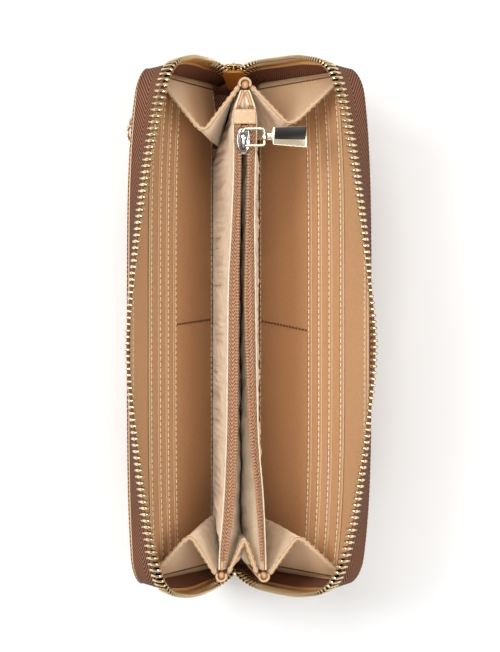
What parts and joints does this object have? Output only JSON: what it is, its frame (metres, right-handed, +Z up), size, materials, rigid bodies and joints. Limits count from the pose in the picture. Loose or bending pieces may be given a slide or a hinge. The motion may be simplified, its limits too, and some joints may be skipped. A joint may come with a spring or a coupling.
{
  "type": "zip around wallet",
  "caption": "Open zip-around wallet with splayed covers, card pockets, a zipped central coin pouch, folded end gussets and zip pulls.",
  "frame": {"origin": "centre of the spine's resting face, which lies on the table", "axes": "+Z up, +Y along the wallet's length towards the main zip slider, +X towards the right cover"},
  "size_m": [0.0957, 0.2157, 0.1085],
  "materials": {
    "board": "matt",
    "chrome": "polished",
    "coin_tape": "matt",
    "edge_leather": "satin",
    "gold": "polished",
    "satin": "satin",
    "tan_leather": "satin",
    "zip_tape": "matt"
  },
  "bodies": {
    "spine": {"coin_end_tab": "edge_leather", "coin_zip_coil": "coin_tape", "coin_zip_tape": "coin_tape", "end_posts": "edge_leather", "gusset_leather_back_left": "edge_leather", "gusset_leather_back_right": "edge_leather", "gusset_leather_front_left": "edge_leather", "gusset_leather_front_right": "edge_leather", "gusset_leather_pouch": "edge_leather", "gusset_satin_back_left": "satin", "gusset_satin_back_right": "satin", "gusset_satin_front_left": "satin", "gusset_satin_front_right": "satin", "gusset_satin_pouch": "satin", "pouch_floor": "satin", "pouch_piping": "edge_leather", "pouch_wall_left": "satin", "pouch_wall_right": "satin", "spine_board": "board", "spine_cover": "tan_leather", "spine_lining": "tan_leather", "zip_bottom_stop": "gold", "zip_tail": "zip_tape"},
    "left_cover": {"board_left": "board", "card_pocket_1_left": "tan_leather", "card_pocket_2_left": "tan_leather", "card_pocket_3_left": "tan_leather", "hinge_left": "tan_leather", "lining_left": "tan_leather", "outer_left": "tan_leather", "slip_pocket_left": "tan_leather", "zip_tape_left": "zip_tape", "zip_teeth_left": "gold", "side_tab": "tan_leather", "side_tab_eye": "gold"},
    "right_cover": {"board_right": "board", "card_pocket_1_right": "tan_leather", "card_pocket_2_right": "tan_leather", "card_pocket_3_right": "tan_leather", "hinge_right": "tan_leather", "lining_right": "tan_leather", "outer_right": "tan_leather", "slip_pocket_right": "tan_leather", "zip_tape_right": "zip_tape", "zip_teeth_right": "gold"},
    "main_slider": {"main_slider_body": "gold", "main_slider_bridge": "gold"},
    "main_pull": {"main_pull": "gold"},
    "coin_slider": {"coin_slider_body": "chrome"},
    "coin_bail": {"coin_bail": "gold"},
    "coin_pull": {"coin_pull": "chrome"},
    "side_ring": {"side_ring": "gold"},
    "side_clasp": {"side_clasp": "gold"}
  },
  "joints": [
    {"name": "left_cover_hinge", "type": "hinge", "parent": "spine", "child": "left_cover", "pos_m": [-0.0113, 0, 0.0015], "axis": [0, -1, 0], "range_deg": [-13, 10], "deforming": ["gusset_leather_back_left", "gusset_leather_front_left", "gusset_satin_back_left", "gusset_satin_front_left", "hinge_left", "zip_tape_left", "zip_teeth_left"]},
    {"name": "right_cover_hinge", "type": "hinge", "parent": "spine", "child": "right_cover", "pos_m": [0.0113, 0, 0.0015], "axis": [0, 1, 0], "range_deg": [-12, 5], "deforming": ["gusset_leather_back_right", "gusset_leather_front_right", "gusset_satin_back_right", "gusset_satin_front_right", "hinge_right", "zip_tape_right", "zip_teeth_right"]},
    {"name": "main_slider_slide", "type": "slide", "parent": "spine", "child": "main_slider", "axis": [0, 0.5299, 0.848], "range_m": [0, 0.006]},
    {"name": "main_pull_hinge", "type": "hinge", "parent": "main_slider", "child": "main_pull", "pos_m": [-0.0005, 0.10567, 0.0135], "axis": [1, 0, 0], "range_deg": [0, 70]},
    {"name": "coin_slider_slide", "type": "slide", "parent": "spine", "child": "coin_slider", "axis": [-0.009, -1, 0], "range_m": [0, 0.139]},
    {"name": "coin_bail_hinge", "type": "hinge", "parent": "coin_slider", "child": "coin_bail", "pos_m": [0.0037, 0.0722, 0.0898], "axis": [0, 1, 0], "range_deg": [-90, 0]},
    {"name": "coin_pull_hinge", "type": "hinge", "parent": "coin_bail", "child": "coin_pull", "pos_m": [0.0117, 0.0722, 0.0898], "axis": [0, 1, 0], "range_deg": [-40, 0]},
    {"name": "side_ring_hinge", "type": "hinge", "parent": "left_cover", "child": "side_ring", "pos_m": [-0.03973, 0.0762, 0.08586], "axis": [0.3007, 0, -0.9537], "range_deg": [0, 60]},
    {"name": "side_clasp_hinge", "type": "hinge", "parent": "side_ring", "child": "side_clasp", "pos_m": [-0.03973, 0.0714, 0.08586], "axis": [0.9537, 0, 0.3007], "range_deg": [-25, 25]}
  ]
}
